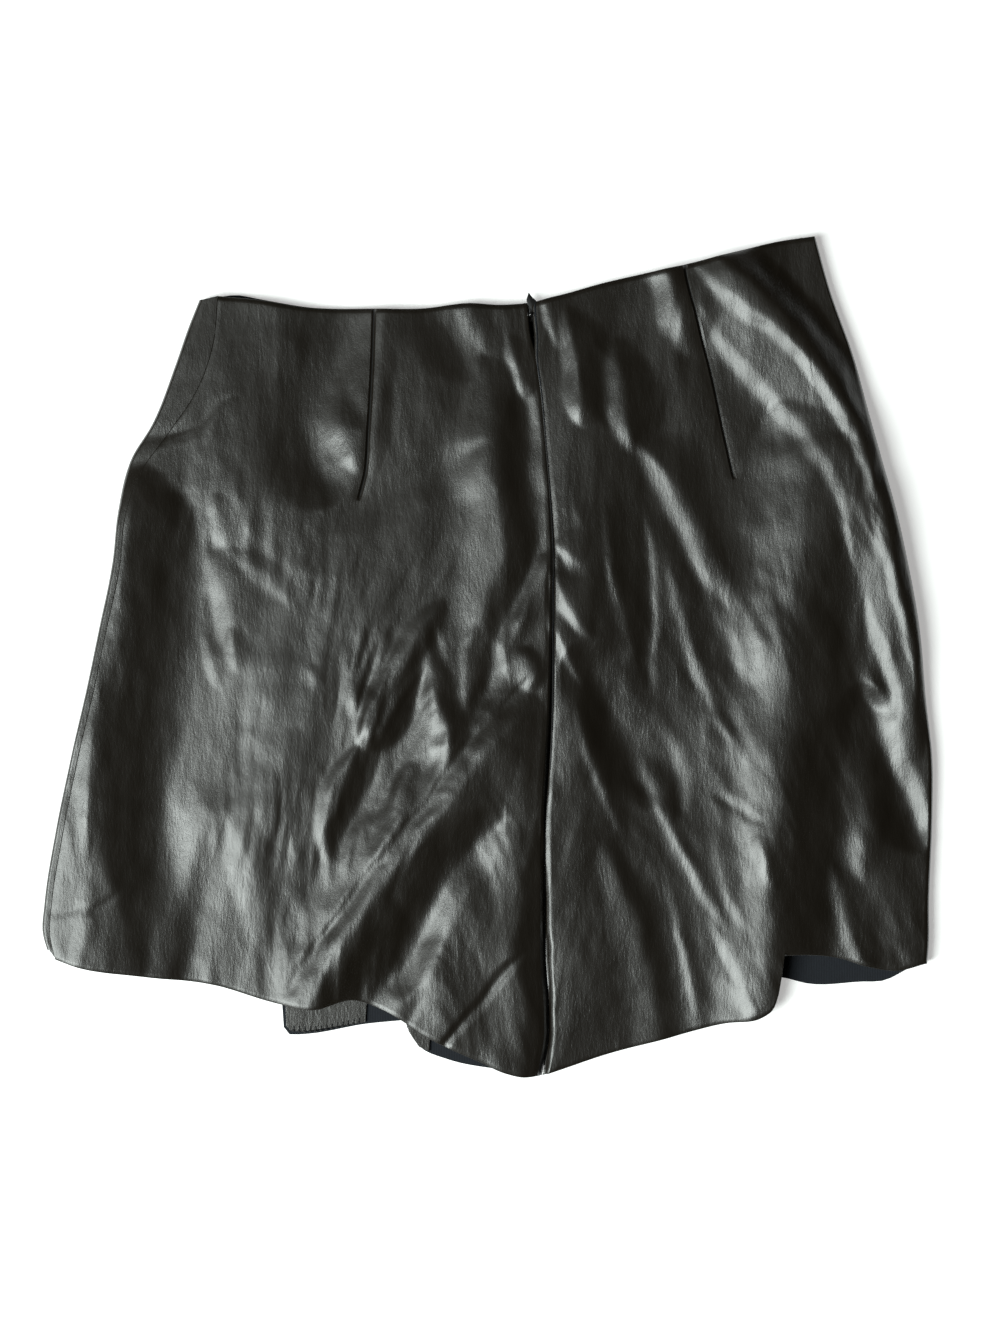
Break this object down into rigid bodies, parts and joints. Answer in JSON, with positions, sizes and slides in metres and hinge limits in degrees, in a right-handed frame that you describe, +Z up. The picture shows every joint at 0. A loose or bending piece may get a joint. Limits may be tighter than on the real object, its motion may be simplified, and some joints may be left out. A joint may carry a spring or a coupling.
{
  "type": "wrap skort",
  "caption": "Short wrap-front skort of faux leather laid flat, back uppermost, with a centre-back zip, back darts and shorts legs under the wrap panel.",
  "frame": {"origin": "under the middle of the laid-out garment's bounding box, on the surface it lies on", "axes": "+X to the right of the garment as it lies, +Y towards the waist, +Z up from the surface, out of the back of the garment"},
  "size_m": [0.5077, 0.48, 0.0161],
  "materials": {
    "leather": "black smooth-grained faux leather with a satin gloss",
    "zip_tape": "black woven tape",
    "zip_metal": "black enamel on metal"
  },
  "bodies": {
    "skort": {"back_left": "leather", "back_right": "leather", "front_left": "leather", "front_right": "leather", "wrap_panel": "leather", "wrap_facing": "leather", "leg_turn_up": "leather", "zip_tape": "zip_tape", "zip_slider": "zip_metal"},
    "pull_tab": {"zip_pull_tab": "zip_metal"}
  },
  "joints": [
    {"name": "PULL", "type": "hinge", "parent": "skort", "child": "pull_tab", "pos_m": [0.0244, 0.1956, 0.0086], "axis": [1, 0, 0], "range_deg": [0, 170]}
  ]
}
